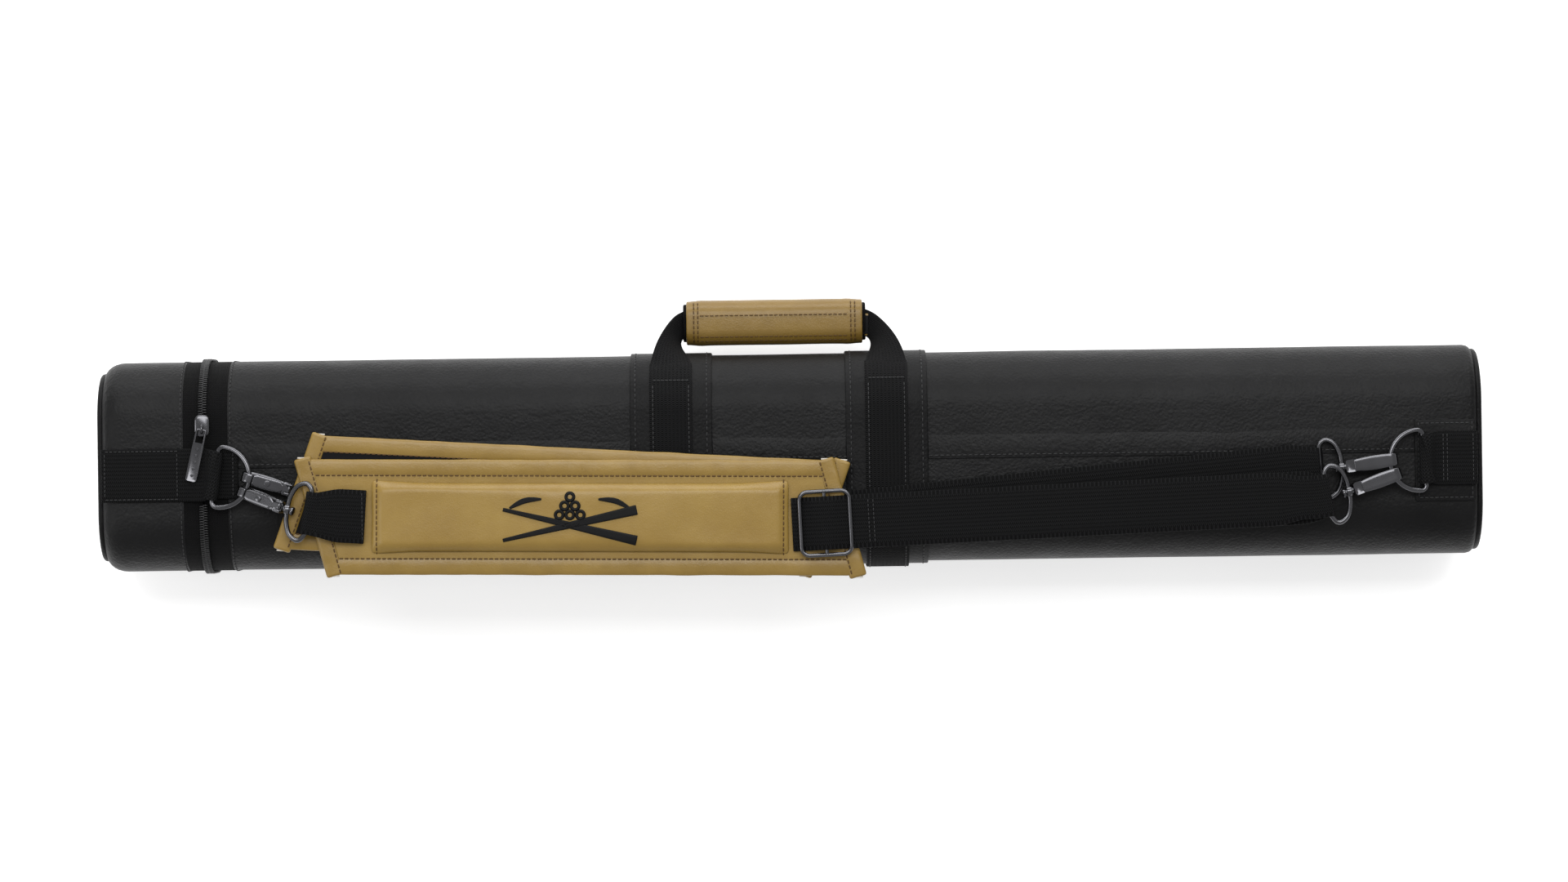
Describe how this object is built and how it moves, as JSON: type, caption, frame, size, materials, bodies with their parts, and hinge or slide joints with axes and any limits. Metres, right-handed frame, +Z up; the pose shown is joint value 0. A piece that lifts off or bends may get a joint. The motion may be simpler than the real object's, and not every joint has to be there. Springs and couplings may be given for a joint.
{
  "type": "cue case",
  "caption": "Hard padded cue case with a zipped end lid, inner cue tubes, a wrapped webbing side handle and clip-on padded shoulder straps",
  "frame": {"origin": "centre of the flat pocket face that the case lies on, below the middle of the case body", "axes": "+X runs along the case away from its zipped lid, +Y points to the handle side, +Z points up to the side with the straps"},
  "size_m": [0.838, 0.1677, 0.1208],
  "materials": {
    "black_leather": "satin grained leatherette",
    "gold_leather": "smooth satin leather",
    "pad_lining": "matte woven lining",
    "black_webbing": "ribbed nylon webbing",
    "gunmetal": "polished black nickel",
    "zip_plastic": "nylon coil",
    "foam": "dark foam under cloth",
    "shell_plastic": "dark moulded plastic"
  },
  "bodies": {
    "case": {"cover_main": "black_leather", "padding_main": "foam", "shell_upper": "shell_plastic", "shell_lower": "shell_plastic", "core_block": "foam", "butt_tubes": "shell_plastic", "shaft_tubes": "shell_plastic", "end_pad": "foam", "end_board": "shell_plastic", "end_panel": "black_leather", "end_piping": "black_leather", "zip_tape_body": "black_webbing", "zip_coil_body": "zip_plastic", "handle_strips": "black_leather", "girth_bands": "black_webbing", "anchor_patch": "black_leather", "anchor_web_right": "black_webbing", "anchor_web_left": "black_webbing", "hinge_web": "black_webbing", "d_ring_left": "gunmetal", "d_ring_right": "gunmetal", "pocket_pouch": "black_leather", "pocket_zip": "zip_plastic", "pad_front": "gold_leather", "pad_binding_front": "gold_leather", "pad_rear": "pad_lining", "pad_binding_rear": "gold_leather", "tab_web_front": "black_webbing", "tab_web_rear": "black_webbing", "long_web_front": "black_webbing", "long_web_rear": "black_webbing", "adjuster_front": "gunmetal", "adjuster_rear": "gunmetal", "hook_left_front": "gunmetal", "eye_left_front": "gunmetal", "hook_left_rear": "gunmetal", "eye_left_rear": "gunmetal", "hook_right_front": "gunmetal", "eye_right_front": "gunmetal", "hook_right_rear": "gunmetal", "eye_right_rear": "gunmetal"},
    "lid": {"lid_cover": "black_leather", "lid_padding": "foam", "lid_shell": "shell_plastic", "lid_end_panel": "black_leather", "lid_piping": "black_leather", "zip_tape_lid": "black_webbing", "zip_coil_lid": "zip_plastic", "lid_band": "black_webbing"},
    "handle": {"grip_core": "black_webbing", "grip_wrap": "gold_leather", "handle_legs": "black_webbing"},
    "zip_slider": {"zip_slider": "gunmetal"},
    "zip_pull": {"zip_pull": "gunmetal"},
    "pocket_slider": {"pocket_slider": "gunmetal"},
    "gate_left_front": {"gate_left_front": "gunmetal"},
    "gate_left_rear": {"gate_left_rear": "gunmetal"},
    "gate_right_front": {"gate_right_front": "gunmetal"},
    "gate_right_rear": {"gate_right_rear": "gunmetal"}
  },
  "joints": [
    {"name": "lid_hinge", "type": "hinge", "parent": "case", "child": "lid", "pos_m": [-0.352, 0, 0.1015], "axis": [0, 1, 0], "range_deg": [0, 110], "deforming": ["hinge_web", "zip_tape_lid", "zip_coil_lid"]},
    {"name": "zip_slide", "type": "slide", "parent": "case", "child": "zip_slider", "axis": [0, 1, 0], "range_m": [0, 0.008]},
    {"name": "zip_pull_flip", "type": "hinge", "parent": "zip_slider", "child": "zip_pull", "pos_m": [-0.352, 0.022, 0.1054], "axis": [-1, 0, 0], "range_deg": [0, 180]},
    {"name": "handle_swing", "type": "hinge", "parent": "case", "child": "handle", "pos_m": [-0.008, 0.0605, 0.054], "axis": [1, 0, 0], "range_deg": [-35, 35], "deforming": ["handle_legs"]},
    {"name": "gate_left_front_hinge", "type": "hinge", "parent": "case", "child": "gate_left_front", "pos_m": [-0.30516, -0.02437, 0.11765], "axis": [-0.3584, -0.9336, 0], "range_deg": [0, 13], "stiffness_Nm_per_rad": 0.02, "springref_deg": -17.19},
    {"name": "gate_left_rear_hinge", "type": "hinge", "parent": "case", "child": "gate_left_rear", "pos_m": [-0.30001, -0.01452, 0.10871], "axis": [-0.2924, -0.9563, 0], "range_deg": [0, 13], "stiffness_Nm_per_rad": 0.02, "springref_deg": -17.19},
    {"name": "gate_right_front_hinge", "type": "hinge", "parent": "case", "child": "gate_right_front", "pos_m": [0.33846, -0.02294, 0.10752], "axis": [0.3256, -0.9455, 0], "range_deg": [0, 13], "stiffness_Nm_per_rad": 0.02, "springref_deg": -17.19},
    {"name": "gate_right_rear_hinge", "type": "hinge", "parent": "case", "child": "gate_right_rear", "pos_m": [0.33591, -0.00918, 0.10235], "axis": [0.1392, -0.9903, 0], "range_deg": [0, 13], "stiffness_Nm_per_rad": 0.02, "springref_deg": -17.19},
    {"name": "pocket_slide", "type": "slide", "parent": "case", "child": "pocket_slider", "axis": [1, 0, 0], "range_m": [0, 0.38]}
  ]
}
